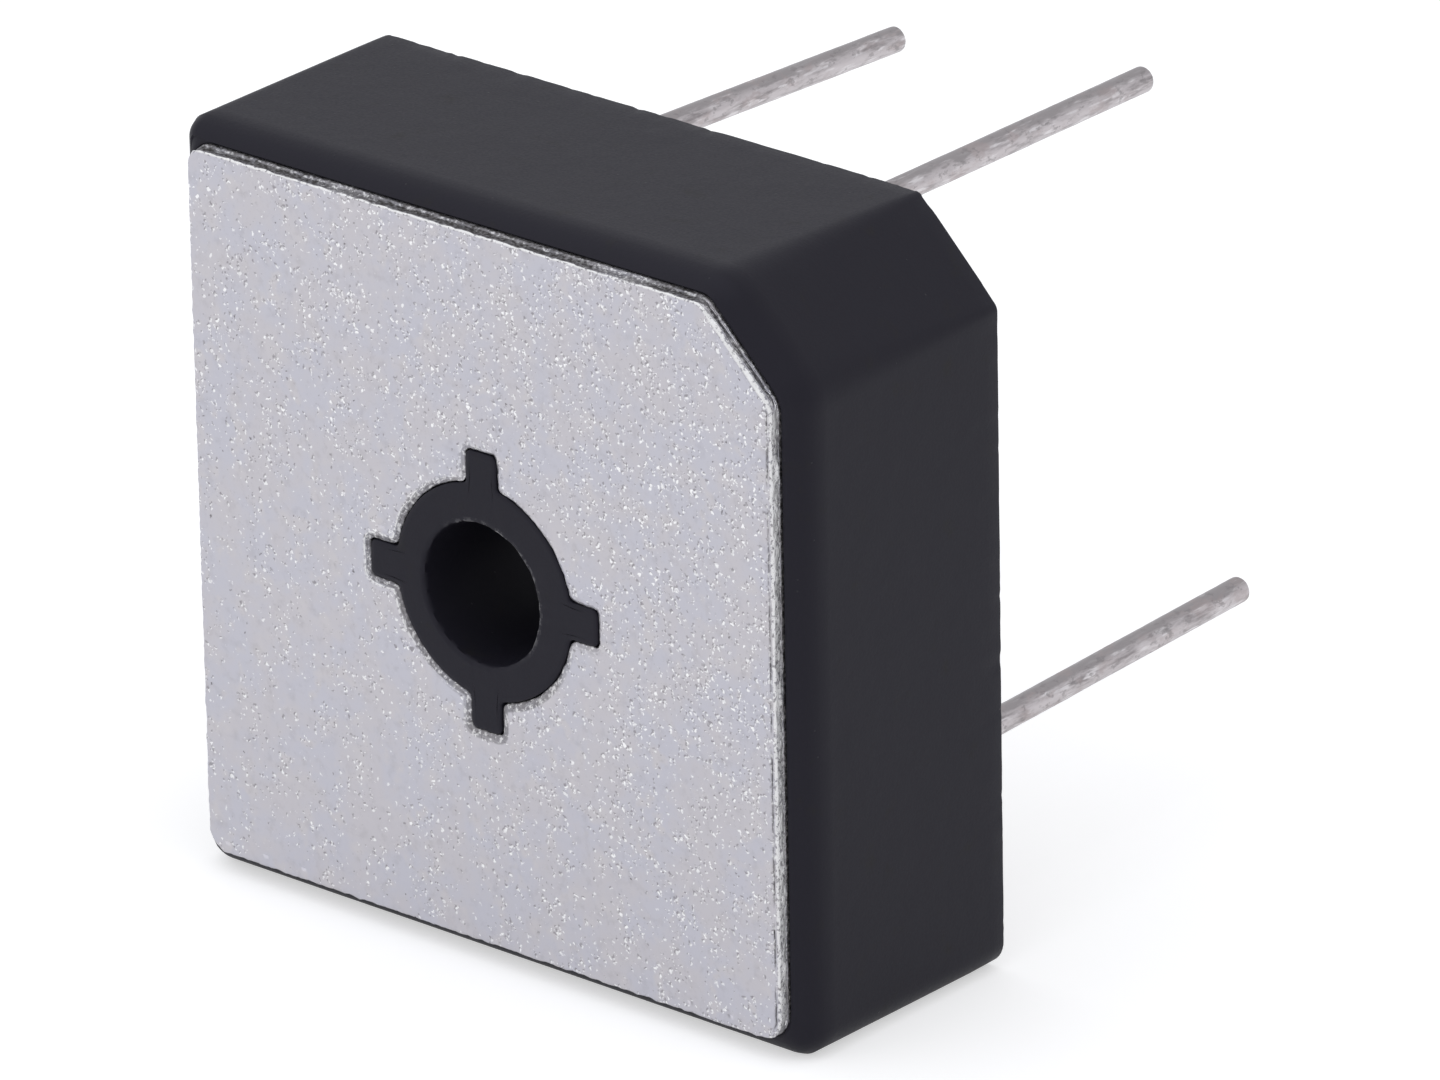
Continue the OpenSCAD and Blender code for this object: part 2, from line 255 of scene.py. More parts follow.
def blackMoulding():
    f = mouldingFinish
    material, shader, place = newMaterial("blackMoulding", {
        "Specular IOR Level": 0.19, "Specular Tint": (0.93, 0.91, 1.0, 1.0)})
    chance = place.cells(f["specks"], "Color").part(0)
    dust = (1 - place.cells(f["specks"]).step(0.06, 0.16)) * (chance > f["noSpeck"])
    smear = place.noise(0.7, 4.0, 0.65).step(0.58, 0.80)
    tone = (smear * 0.6).blend(f["black"], f["scuff"])
    tone = (dust * 0.5).blend(tone, f["dust"])
    # the bore's mouth is nicked down to paler filler
    worn = place.edgeMarks()
    nick = worn * place.noise(3.6, 4.0, 0.75).step(0.50, 0.57)
    tone = nick.blend(tone, f["worn"])
    feed(shader, "Base Color", tone)
    grain = place.noise(9.0, 2.0, 0.6)
    feed(shader, "Roughness", f["roughness"] + (grain - 0.5) * 0.18 + smear * 0.06)
    relief = grain * 0.004 + place.noise(0.6, 3.0) * 0.02 + dust * 0.008
    feed(shader, "Normal", relief.bump())
    return material


wireFinish = {
    "tin": (0.620, 0.580, 0.590, 1.0),
    "bright": (0.760, 0.730, 0.740, 1.0),
    "dull": (0.300, 0.275, 0.280, 1.0),
    "tarnishAndShade": (0.270, 0.252, 0.256, 1.0),
    "copperShow": (0.460, 0.390, 0.385, 1.0),
    "roughness": 0.33,
    "streaks": (0.9, 0.16, 0.9),  # drawn out along y, as the wires are
    "blotches": (1.0, 0.6, 1.0),
}


def tinnedWire():
    f = wireFinish
    material, shader, place = newMaterial("tinnedWire", {"Metallic": 1.0})
    along = place.scaled(f["streaks"])
    patchy = place.scaled(f["blotches"])
    streak = along.noise(3.2, 4.0, 0.65)
    tone = streak.step(0.28, 0.56).blend(f["dull"], f["tin"])
    tone = along.noise(6.0, 2.0).step(0.54, 0.70).blend(tone, f["bright"])
    # painted shade darkens the upper side in streaks along its whole length, and tarnish specks the rest
    upward = place.node("ShaderNodeTexCoord", output="Normal").part(2)
    paintedUpperShade = (upward + (streak - 0.5) * 2.2).step(0.55, 0.95)
    tone = (paintedUpperShade * 0.72).blend(tone, f["tarnishAndShade"])
    blotch = patchy.noise(1.3, 4.0, 0.65).step(0.50, 0.64)
    tone = (blotch * 0.45).blend(tone, f["copperShow"])
    speck = patchy.noise(3.6, 3.0, 0.65).step(0.56, 0.66)
    tone = (speck * 0.55).blend(tone, f["tarnishAndShade"])
    feed(shader, "Base Color", tone)
    feed(shader, "Roughness", f["roughness"] + (streak - 0.5) * 0.25 + blotch * 0.08)
    relief = streak * 0.010 + place.noise(3.0, 3.0) * 0.010
    feed(shader, "Normal", relief.bump())
    return material


epoxyFinish = {
    "black": (0.014, 0.014, 0.016, 1.0),
    "grey": (0.030, 0.030, 0.033, 1.0),
    "roughness": 0.28,
    "bubbles": 0.8,  # cells per mm
    "noBubble": 0.8,  # share of the cells that have none
}


def castEpoxy():
    f = epoxyFinish
    material, shader, place = newMaterial("castEpoxy", {"Specular IOR Level": 0.5})
    cloud = place.noise(0.5, 4.0, 0.6)
    feed(shader, "Base Color", cloud.step(0.4, 0.7).blend(f["black"], f["grey"]))
    chance = place.cells(f["bubbles"], "Color").part(0)
    bubble = (1 - place.cells(f["bubbles"]).step(0.10, 0.16)) * (chance > f["noBubble"])
    feed(shader, "Roughness", f["roughness"] + (cloud - 0.5) * 0.2)
    relief = cloud * 0.05 + place.noise(6.0, 2.0) * 0.003 - bubble * 0.03
    feed(shader, "Normal", relief.bump())
    return material


# light and dark colour, metallic, roughness, clouds per mm, relief in mm
innerFinishes = {
    "alumina": ((0.84, 0.83, 0.79, 1.0), (0.76, 0.75, 0.71, 1.0), 0.0, 0.55, 5.0, 0.006),
    "copperSheet": ((0.72, 0.36, 0.22, 1.0), (0.52, 0.25, 0.16, 1.0), 1.0, 0.32, 2.0, 0.006),
    "siliconChip": ((0.10, 0.11, 0.14, 1.0), (0.16, 0.17, 0.20, 1.0), 0.6, 0.22, 3.0, 0.002),
    "softSolder": ((0.50, 0.50, 0.50, 1.0), (0.38, 0.38, 0.39, 1.0), 1.0, 0.38, 4.0, 0.012),
}


def innerMaterial(name):
    light, dark, metal, rough, clouds, height = innerFinishes[name]
    material, shader, place = newMaterial(name, {"Metallic": metal})
    cloud = place.noise(clouds, 4.0, 0.6)
    feed(shader, "Base Color", cloud.step(0.35, 0.7).blend(light, dark))
    feed(shader, "Roughness", rough + (cloud - 0.5) * 0.25)
    feed(shader, "Normal", (cloud * height).bump())
    return material


plateMaterial = nickelPlate()
caseMaterial = blackMoulding()
wireMaterial = tinnedWire()
epoxyMaterial = castEpoxy()
print("materials ready")


def wobble(x, y, z, size, amount=1.0):
    # smooth noise between about -amount and amount, with bumps of the given size
    return noise.noise(Vector((x / size, y / size, z / size))) * amount


def addPiece(name, points, faces, material, sharp, replaces=None, edgeMarks=None):
    # makes a piece from points in mm, shaded smooth except at edges sharper than the given angle, with each
    # point's marks for its material to use: wear, and on the plate also painted shade and highlight
    mesh = bpy.data.meshes.new(name)
    mesh.from_pydata([(x * mm, y * mm, z * mm) for x, y, z in points], [], faces)
    shape = bmesh.new()
    shape.from_mesh(mesh)
    if edgeMarks:
        layer = shape.verts.layers.float.new("edge")
        for vert, value in zip(shape.verts, edgeMarks):
            vert[layer] = value
    bmesh.ops.remove_doubles(shape, verts=shape.verts, dist=1e-7)
    bmesh.ops.recalc_face_normals(shape, faces=shape.faces)
    for face in shape.faces:
        face.smooth = True
    for edge in shape.edges:
        if len(edge.link_faces) == 2 and edge.calc_face_angle() > math.radians(sharp):
            edge.smooth = False
    shape.to_mesh(mesh)
    shape.free()
    piece = bpy.data.objects.new(name, mesh)
    bpy.context.scene.collection.objects.link(piece)
    mesh.materials.append(material)
    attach(piece, "root")
    if replaces:
        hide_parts(replaces)


def stripFaces(rings, closed):
    # quads between rings of equal length, and from the last ring to the first where it is closed
    count = len(rings[0])
    faces = []
    for i in range(len(rings) if closed else len(rings) - 1):
        a = i * count
        b = (i + 1) % len(rings) * count
        for k in range(count):
            n = (k + 1) % count
            faces.append((a + k, a + n, b + n, b + k))
    return faces


roundLoss = 2 - math.sqrt(2)  # how much a corner's cut shortens as its outline moves in by 1
cornerTurns = [(180, 90), (270, 90), (0, 45), (45, 45), (90, 90)]  # where each corner starts and turns to
runCounts = [104, 94, 16, 94, 104]  # points along each straight run
leastRadius = 0.02
quarterTurns = [(1, 0), (0, 1), (-1, 0), (0, -1)]


def squareOutline(half, cut, radius, fine=1):
    # a square with its upper right corner cut, as (x, z) points; the radii go round from the lower left
    r = [max(one, leastRadius) for one in (radius if isinstance(radius, list) else [radius] * 5)]
    back = math.sqrt(2) - 1
    centres = [(r[0] - half, r[0] - half),
               (half - r[1], r[1] - half),
               (half - r[2], half - cut - back * r[2]),
               (half - cut - back * r[3], half - r[3]),
               (r[4] - half, half - r[4])]
    arcs = []
    for (cx, cz), size, (start, turn) in zip(centres, r, cornerTurns):
        steps = fine * (10 if turn == 90 else 5)
        arcs.append([(cx + size * math.cos(math.radians(start + turn * k / steps)),
                      cz + size * math.sin(math.radians(start + turn * k / steps)))
                     for k in range(steps + 1)])
    outline = []
    for i, arc in enumerate(arcs):
        outline += arc
        (ax, az), (bx, bz) = arc[-1], arcs[(i + 1) % len(arcs)][0]
        count = runCounts[i] * fine
        for k in range(1, count):
            t = k / count
            outline.append((ax + (bx - ax) * t, az + (bz - az) * t))
    return outline


def pulledIn(outline, amount):
    # moves the right side of an outline to the left, less so along the cut; also gives each point's normal
    alongCut = 0.6
    row, normals = [], []
    for k, (x, z) in enumerate(outline):
        (ax, az), (bx, bz) = outline[k - 1], outline[(k + 1) % len(outline)]
        size = math.hypot(bx - ax, bz - az)
        nx, nz = (bz - az) / size, (ax - bx) / size
        right = max(0.0, nx)
        row.append((x - amount * right * nx, z - amount * right * nz * alongCut))
        normals.append((nx, nz))
    return row, normals


def keyedOutline(radius, width, reach, endRound, fillet):
    # a circle with four keys, their ends rounded and filleted into the circle
    outline = []
    w = width / 2
    fx = math.sqrt((radius + fillet) ** 2 - (w + fillet) ** 2)
    fz = w + fillet
    meet = math.atan2(fz, fx)
    quarter = []

    def arc(cx, cz, r, start, end, steps):
        for k in range(steps + 1):
            a = start + (end - start) * k / steps
            quarter.append((cx + r * math.cos(a), cz + r * math.sin(a)))

    right = math.pi / 2
    for k in range(1, 6):
        quarter.append((reach, (-w + endRound) + (2 * w - 2 * endRound) * k / 6))
    arc(reach - endRound, w - endRound, endRound, 0, right, 4)
    for k in range(1, 5):
        quarter.append((reach - endRound + (fx - reach + endRound) * k / 5, w))
    arc(fx, fz, fillet, 3 * right, 2 * right + meet, 4)
    for k in range(1, 24):
        a = meet + (right - 2 * meet) * k / 24
        quarter.append((radius * math.cos(a), radius * math.sin(a)))
    arc(fz, fx, fillet, 3 * right - meet, 2 * right, 4)
    for k in range(1, 5):
        quarter.append((w, fx + (reach - endRound - fx) * k / 5))
    arc(w - endRound, reach - endRound, endRound, 0, right, 4)
    for c, s in quarterTurns:
        outline += [(x * c - z * s, x * s + z * c) for x, z in quarter]
    return outline


def circlePoints(cx, cz, radius, count, turn=0.0):
    # a circle as (x, z) points, turned by a share of the step between them
    angles = [2 * math.pi * (k + turn) / count for k in range(count)]
    return [(cx + radius * math.cos(a), cz + radius * math.sin(a)) for a in angles]


def depthInside(x, z, half, cut, radius):
    # how far a point lies inside a rounded cut square, up to its corner radius
    inner = half - radius
    far = 0.0
    innerCut = cut - roundLoss * radius
    corners = [(-inner, -inner), (inner, -inner), (inner, inner - innerCut),
               (inner - innerCut, inner), (-inner, inner)]
    for i, (ax, az) in enumerate(corners):
        bx, bz = corners[(i + 1) % len(corners)]
        ex, ez = bx - ax, bz - az
        if (x - ax) * ez - (z - az) * ex > 0:  # outside this side
            t = max(0.0, min(1.0, ((x - ax) * ex + (z - az) * ez) / (ex * ex + ez * ez)))
            gap = math.hypot(x - ax - t * ex, z - az - t * ez)
            far = gap if far == 0.0 else min(far, gap)
    return radius - far


caseShape = {
    "half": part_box("case")[1][0] / mm,
    "height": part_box("case")[1][1] / mm,
    "cut": 3.45,
    "round": 1.1,
    "frontCorners": [1.1, 1.1, 2.0, 2.0, 0.8],
    "rimCorners": [1.0, 1.05, 0.5, 0.5, 0.65],
    "front": 0.4,
    "rollMeets": 30,  # degrees at which the roll meets the sides, in a faint edge
    "pocketHalf": 13.57,
    "pocketCut": 3.17,
    "pocketCorners": [1.0, 1.25, 1.0, 1.0, 1.0],
    "pocketIn": 0.15,
    "pocketFloor": 1.2,
    "pocketLip": 0.04,
    "flatFront": 0.62,  # from the side to where the roll's steps begin
    "wall": 1.5,
    "wallRings": [10.7, 9.5, 5.0],  # heights on the inner side
    "cavityRound": 0.6,
    "rimRound": 0.12,
    "innerRound": 0.15,
    "aboveRoll": 0.06,
    # how far the outside sinks in: in long and short waves, and more within a band below the rim
    "wave": 0.014,
    "ripple": 0.003,
    "rimBand": 1.2,
    "rimRipple": 0.024,
    "rimNicks": 0.12,
}


def blendHeight(inset):
    # height of the front roll at a distance in from the side
    s = caseShape
    rest = min(s["round"], max(0.0, s["round"] - inset))
    return s["front"] + s["round"] - math.sqrt(s["round"] ** 2 - rest ** 2)


def caseRing(inset, y, radius=None):
    # the corners get sharper towards the rim
    s = caseShape
    rollTop = s["front"] + s["round"]
    taper = max(0.0, y - rollTop) / (s["height"] - rollTop)
    if radius is None:
        radius = [a + (b - a) * taper - inset for a, b in zip(s["frontCorners"], s["rimCorners"])]
    outline = squareOutline(s["half"] - inset, s["cut"] - roundLoss * inset, radius)
    return [(x, y, z) for x, z in outline]


def buildCase():
    s = caseShape
    rings = []
    cavityHalf = s["half"] - s["wall"]
    cavityCut = s["cut"] - roundLoss * s["wall"]
    floorY = s["pocketFloor"]
    out = s["pocketLip"]
    pocket = squareOutline(s["pocketHalf"], s["pocketCut"], s["pocketCorners"])
    lipCorners = [r + out for r in s["pocketCorners"]]
    lip = squareOutline(s["pocketHalf"] + out, s["pocketCut"] + roundLoss * out, lipCorners)
    pocket, lip = (pulledIn(outline, s["pocketIn"])[0] for outline in (pocket, lip))

    def skinY(x, z):
        return blendHeight(depthInside(x, z, s["half"], s["cut"], s["round"]))

    rings.append([(x, floorY, z) for x, z in squareOutline(cavityHalf, cavityCut, s["cavityRound"])])
    rings.append([(x, floorY, z) for x, z in pocket])
    for outline, sunk in ((pocket, 0.10), (pocket, 0.04), (lip, 0.005)):
        rings.append([(x, skinY(x, z) + sunk, z) for x, z in outline])
    near = caseRing(s["flatFront"], 0)
    for t in (0.25, 0.6, 1.0):
        mixed = [(ax + (bx - ax) * t, az + (bz - az) * t) for (ax, az), (bx, _, bz) in zip(lip, near)]
        rings.append([(x, skinY(x, z), z) for x, z in mixed])
    # the roll, and the sides from just above it
    start = math.acos(1 - s["flatFront"] / s["round"])
    meeting = math.radians(s["rollMeets"])
    for k in range(1, 10):
        a = start + (meeting - start) * k / 9
        inset = s["round"] * (1 - math.cos(a))
        rings.append(caseRing(inset, s["front"] + s["round"] * (1 - math.sin(a))))
    low = s["front"] + s["round"] * (1 - math.tan(meeting / 2)) + s["aboveRoll"]
    top = s["height"] - s["rimRound"]
    for k in range(16):
        rings.append(caseRing(0, low + (top - low) * k / 15))
    for k in range(1, 5):
        a = math.pi / 2 * k / 4
        rings.append(caseRing(s["rimRound"] * (1 - math.cos(a)), top + s["rimRound"] * math.sin(a)))
    # the flat rim, and the round of its inner edge
    outerEdge = s["rimRound"]
    for inset in (0.25, 0.75, s["wall"] - 0.25, s["wall"] - s["innerRound"]):
        t = (inset - outerEdge) / (s["wall"] - outerEdge)
        radius = [(r - outerEdge) * (1 - t) + s["cavityRound"] * t for r in s["rimCorners"]]
        rings.append(caseRing(inset, s["height"], radius))
    for k in range(1, 4):
        a = math.pi / 2 * k / 3
        inset = s["wall"] - s["innerRound"] * (1 - math.sin(a))
        y = s["height"] - s["innerRound"] * (1 - math.cos(a))
        rings.append(caseRing(inset, y, s["cavityRound"] + s["wall"] - inset))
    for y in s["wallRings"]:
        rings.append(caseRing(s["wall"], y, s["cavityRound"]))
    # a real moulding is never dead straight: every outer point sinks in a little
    waved = []
    for ring in rings:
        row = []
        for x, y, z in ring:
            far = max(abs(x), abs(z))
            if y > 0.3 and far > s["pocketHalf"] + 0.1:
                rim = max(0.0, min(1.0, y - s["height"] + s["rimBand"]))
                sink = s["wave"] * (0.5 + 0.5 * wobble(x, y, z, 5.0))
                sink += (s["ripple"] + s["rimRipple"] * rim) * (0.5 + 0.5 * wobble(x, y, z, 0.8))
                sink += s["rimNicks"] * rim * max(0.0, wobble(x, y + 5, z, 0.40) - 0.20)
                size = math.hypot(x, z)
                x -= sink * x / size
                z -= sink * z / size
            row.append((x, y, z))
        waved.append(row)
    points = [p for ring in waved for p in ring]
    faces = stripFaces(waved, True)
    return points, faces, [0.0] * len(points)


bossShape = {
    "radius": 4.03,
    "bore": 2.65,
    "boreShift": (-0.11, -0.10),
    "shiftWithin": 3.2,
    # rings round the bore or the boss: how far out from its radius, how far along y from its end, how rough
    "mouth": [(0.02, 0.06, 0.03), (0.10, 0.006, 0.03), (0.22, 0.0, 0.0)],
    "backOfBoss": [(0.0, -0.15), (-0.04, -0.04), (-0.15, 0.0)],
    "backOfBore": [(0.3, 0.0), (0.08, -0.02), (0.0, -0.12), (0.0, -1.0)],
    "boreRings": [6.0, 2.0],
    "keyWidth": 1.40,
    "keyReach": 5.25,
    "endRound": 0.25,
    "fillet": 0.2,
    "face": 0.04,
    "under": 1.2,
    "edge": 0.06,
    "keyRoot": 0.45,  # rings on the flat face: inside the keys, and along their outline
    "flatKeys": 0.2,
    "nicked": [1.0, 0.35],
    "nickedAt": 40,
    "ribThick": 1.4,
    "ribs": (4.7, 9.6),  # along y
    "ribRoot": 0.6,  # how far the ribs reach into the boss, and into the walls
    "ribEnd": 0.5,
}


def buildBoss(height):
    b = bossShape

    def keyed(inset, y):
        outline = keyedOutline(b["radius"] - inset, b["keyWidth"] - 2 * inset, b["keyReach"] - inset,
                               b["endRound"] - inset, b["fillet"] + inset)
        return [(x, y, z) for x, z in outline]

    angles = [math.atan2(z, x) for x, _, z in keyed(0, 0)]

    def circle(radius, y, rough=0.0):
        row = []
        shiftX, shiftZ = b["boreShift"] if radius < b["shiftWithin"] else (0.0, 0.0)
        for a in angles:
            x, z = math.cos(a), math.sin(a)
            r = radius + wobble(x * radius, y, z * radius, 0.35, rough) + wobble(x, y, z, 0.3, rough * 0.5)
            high = y + wobble(x * radius, 7.0, z * radius, 0.3, rough * 0.6)
            row.append((x * r + shiftX, high, z * r + shiftZ))
        return row

    e = b["edge"]
    face = b["face"]
    rings = [circle(b["bore"] + out, face + deep, rough) for out, deep, rough in b["mouth"]]
    rings.append(circle(b["radius"] - b["keyRoot"], face))
    for inset, deep in ((b["flatKeys"], 0.0), (e, 0.0), (e * 0.3, e * 0.3), (0, e)):
        rings.append(keyed(inset, face + deep))
    rings.append(keyed(0, b["under"]))
    rings.append(circle(b["radius"], b["under"] + 0.01))
    rings += [circle(b["radius"] + out, height + deep) for out, deep in b["backOfBoss"]]
    rings += [circle(b["bore"] + out, height + deep) for out, deep in b["backOfBore"]]
    rings += [circle(b["bore"], y) for y in b["boreRings"]]
    rings.append(circle(b["bore"], face + 0.25, 0.01))
    points = [p for ring in rings for p in ring]
    # the moulding is nicked along the upper right of the bore's mouth, which is the first two rings
    worn = []
    for i in range(len(rings)):
        share = b["nicked"][i] if i < len(b["nicked"]) else 0.0
        worn += [share * max(0.0, math.cos(a - math.radians(b["nickedAt"]))) for a in angles]
    return points, stripFaces(rings, True), worn


barFaces = [(0, 1, 3, 2), (4, 6, 7, 5), (0, 4, 5, 1), (2, 3, 7, 6), (0, 2, 6, 4), (1, 5, 7, 3)]


def buildRibs(reach):
    # four bars under the filling, from the boss to the walls
    b = bossShape
    points, faces = [], []
    low, high = b["ribs"]
    half = b["ribThick"] / 2
    for c, s in quarterTurns:
        base = len(points)
        for r in (b["radius"] - b["ribRoot"], reach):
            for y in (low, high):
                for side in (-half, half):
                    points.append((r * c - side * s, y, r * s + side * c))
        faces += [tuple(base + i for i in face) for face in barFaces]
    return points, faces, [0.0] * len(points)


casePoints, caseFaces, caseWorn = buildCase()
ribReach = caseShape["half"] - caseShape["wall"] + bossShape["ribEnd"]
for points, faces, worn in (buildBoss(caseShape["height"]), buildRibs(ribReach)):
    base = len(casePoints)
    casePoints += points
    caseWorn += worn
    caseFaces += [tuple(base + i for i in face) for face in faces]
addPiece("mouldedCase", casePoints, caseFaces, caseMaterial, 50.0, "case", caseWorn)
print("case built:", len(caseFaces), "faces")


plateShape = {
    "half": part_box("base_plate")[1][0] / mm,
    "cut": 3.1,
    "corners": [0.75, 0.9, 0.9, 0.9, 0.7],
    "rightIn": 0.11,
    "face": 0.012,
    "holeRadius": 4.06,
    "holeKey": 1.46,
    "holeReach": 5.28,
    "holeEnd": 0.2,
    "holeFillet": 0.33,
    "leastFillet": 0.03,
    "edgeRough": 0.045,
    "scored": (0.15, 0.31),  # the insets between which the right side is scored
    # marks: darker above 0, for dull metal and painted shade; lighter below 0, for rubbed metal and painted
    # highlight
    "sheared": -0.68,
    "torn": 0.8,
    "tornFrom": 0.40,
    "holeLow": 0.6,
    "holeClean": 0.8,
    "cleanPull": 0.45,
}

# the sheared edge from the face outwards: inset, height, how rough, how dull with painted shade (or, below 0,
# how bright with painted highlight), and the inset, height and dullness along the cut corner
plateEdge = [(0.50, 0.0, 0.0, 0.0, 0.50, 0.0, 0.0), (0.30, 0.0, 0.05, 0.0, 0.30, 0.0, 0.0),
             (0.25, 0.003, 0.4, 0.2, 0.25, 0.0, 0.0), (0.215, 0.014, 0.8, 1.0, 0.215, 0.003, 0.0),
             (0.18, 0.006, 0.7, 0.6, 0.18, 0.003, 0.0), (0.12, 0.0, 0.3, 0.0, 0.14, 0.010, -0.6),
             (0.07, 0.004, 0.5, -0.6, 0.115, 0.03, -1.0), (0.04, 0.016, 0.9, -1.0, 0.085, 0.07, -1.0),
             (0.015, 0.045, 1.0, -1.0, 0.055, 0.11, -0.8), (0.01, 0.070, 0.8, 0.9, 0.025, 0.15, -0.5),
             (0.015, 0.12, 0.6, 1.0, 0.015, 0.20, 0.9), (0.02, 0.25, 0.6, 1.0, 0.005, 0.27, 0.9),
             (-0.02, 0.32, 1.0, 1.0, 0.0, 0.32, 0.3), (-0.06, 0.355, 1.5, 0.72, 0.0, 0.36, -0.5),
             (-0.08, 0.39, 1.3, 0.70, 0.0, 0.40, 0.4), (-0.09, 0.43, 0.7, 1.0, 0.0, 0.45, 0.9),
             (-0.09, 0.62, 0.2, 1.0, 0.0, 0.62, 1.0), (-0.08, 1.19, 0.0, 1.0, 0.0, 1.19, 1.0)]
# the same round the cut-out: how far out from its wall, height, how rough, how dull (or, below 0, how
# bright), where dull is partly painted shade, all down its wall in the gap to the boss, and bright partly
# painted highlight
holeEdge = [(0.60, 0.0, 0.0, 0.0), (0.34, 0.0, 0.1, 0.0), (0.29, 0.010, 0.8, -0.4),
            (0.25, 0.012, 0.9, -0.9), (0.21, 0.028, 1.0, 0.55), (0.16, 0.042, 1.0, 0.80),
            (0.11, 0.055, 1.0, 0.60), (0.06, 0.08, 1.0, 0.75), (0.02, 0.12, 0.6, 0.95),
            (0.0, 0.20, 0.2, 1.0), (0.0, 1.19, 0.0, 1.0)]


def buildPlate():
    p = plateShape

    def roughen(outline, y, rough, pull=0.0, flat=1.0):
        # moves a ring of points in and out along its own normals, off the right side by a smaller share
        amount = p["edgeRough"] * rough
        row, normals = pulledIn(outline, pull)
        ring = []
        for (x, z), (nx, nz) in zip(row, normals):
            push = amount * (wobble(x, y * 2, z, 0.5) + 0.7 * wobble(x + 9, y * 2, z, 0.22) - 0.6)
            push *= flat + (1 - flat) * max(0.0, nx)
            ragged = 0.8 * abs(wobble(x, 3 + y, z, 0.35)) + 0.5 * wobble(x, 8 + y, z, 0.15)
            deep = y + p["face"] + amount * ragged
            ring.append([x + push * nx, max(0.0, deep), z + push * nz])
        return ring, normals

    outer, outerEdge = [], []
    for inset, y, rough, dull, cutInset, cutY, cutMark in plateEdge:
        out = max(-inset, 0.0)
        inset = max(inset, 0.0)
        corners = [r - inset for r in p["corners"]]
        outline = squareOutline(p["half"] - inset, p["cut"] - roundLoss * inset, corners, 2)
        scored = p["scored"][0] < inset < p["scored"][1]
        ring, normals = roughen(outline, y, rough, p["rightIn"], 0.0 if scored else 1.0)
        for point, (nx, nz) in zip(ring, normals):
            top = max(0.0, nz) ** 4
            right = max(0.0, nx)
            slanted = max(0.0, 2 * nx * nz)
            # the burr stands out along the top, and the cut corner is worn to a bevel
            push = out * top - (cutInset - inset) * slanted
            point[0] += push * nx
            point[2] += push * nz
            point[1] += (cutY - y) * slanted
            mark = dull * max(top, min(1.0, 1.5 * right))
            if scored:  # a scored line along the right side, broken here and there, its groove darkened with painted shade
                score = right ** 4 * max(0.0, min(1.0, 0.65 + 2.5 * wobble(point[0], 0, point[2], 1.3)))
                point[1] += y * 4 * score
                point[1] = p["face"] + (point[1] - p["face"]) * right
                mark = dull * score
            # along the top, the front edge gets a painted highlight and the wall behind it dull metal with
            # painted shade; along the right, the wall is bright in front, rubbed metal with painted
            # highlight, and dull behind
            elif 0.01 < y < 0.6:
                patch = max(0.0, min(1.0, 3.0 * wobble(point[0], 5, point[2], 2.6)))
                side = (1 - top) * right
                mark = dull * top * (1 - 0.3 * patch) + side * p["sheared" if y < p["tornFrom"] else "torn"]
            outerEdge.append(mark + (cutMark - mark) * slanted ** 2)
        outer.append([tuple(point) for point in ring])
    inner, innerEdge = [], []
    for spread, y, rough, dull in holeEdge:
        outline = keyedOutline(p["holeRadius"] + spread, p["holeKey"] + 2 * spread, p["holeReach"] + spread,
                               p["holeEnd"] + spread, max(p["holeFillet"] - spread, p["leastFillet"]))
        ring, normals = roughen(outline, y, rough)
        for point, (nx, nz), (x, z) in zip(ring, normals, outline):
            # torn most along the lower right, cut most cleanly along the upper right
            low = max(0.0, (0.5 * x - 0.87 * z) / math.hypot(x, z))
            clean = max(0.0, (0.7 * x + 0.7 * z) / math.hypot(x, z))
            mark = dull
            if 0.04 < spread < 0.3:
                pull = p["cleanPull"] * spread * clean
                point[0] -= pull * nx
                point[2] -= pull * nz
                mark = dull * (1 - low) + p["holeLow"] * low
            innerEdge.append(mark * (1 - p["holeClean"] * clean) if spread > 0.03 else mark)
        inner.append([tuple(point) for point in ring])
    points = [q for ring in outer for q in ring]
    faces = stripFaces(outer, False)
    base = len(points)
    points += [q for ring in inner for q in ring]
    faces += [tuple(base + i for i in face) for face in stripFaces(inner, False)]
    # the flat front and back between the two outlines
    ends = [(outer[0], 0, inner[0], base),
            (outer[-1], base - len(outer[-1]), inner[-1], len(points) - len(inner[-1]))]
    for outerRing, a, innerRing, b in ends:
        index = list(range(a, a + len(outerRing))) + list(range(b, b + len(innerRing)))
        loops = [[Vector((x, z, 0)) for x, _, z in ring] for ring in (outerRing, innerRing)]
        faces += [tuple(index[i] for i in tri) for tri in tessellate_polygon(loops)]
    return points, faces, outerEdge + innerEdge


platePoints, plateFaces, plateEdgeMarks = buildPlate()
addPiece("basePlate", platePoints, plateFaces, plateMaterial, 60.0, "base_plate", plateEdgeMarks)
print("plate built:", len(plateFaces), "faces")


leadShape = {
    "radius": 0.5,
    "neck": 0.48,  # the wire's radius inside the filling
    "clear": 0.3,  # above the filling, from where the wire is dented
    "neckEnds": [0.35, 0.1],  # the neck's last rings, below that place
    "widened": 0.3,  # above it, where the wire has its full radius
    "headRadius": 1.05,
    "headThick": 0.5,
    "headRound": 0.06,
    "tipRound": 0.22,
    "tipDome": 0.03,
    "cropped": 0.05,  # how uneven the end is
    "dents": 0.010,
    "shorter": {"lead_plus": 0.14, "lead_ac_1": 0.12, "lead_ac_2": 0.38},
    "around": 28,
    "step": 0.16,
}

leadNodes = {"plus_lead": "lead_plus", "minus_lead": "lead_minus",
             "ac_lead_1": "lead_ac_1", "ac_lead_2": "lead_ac_2"}
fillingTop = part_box("potting_compound")[1][1] / mm


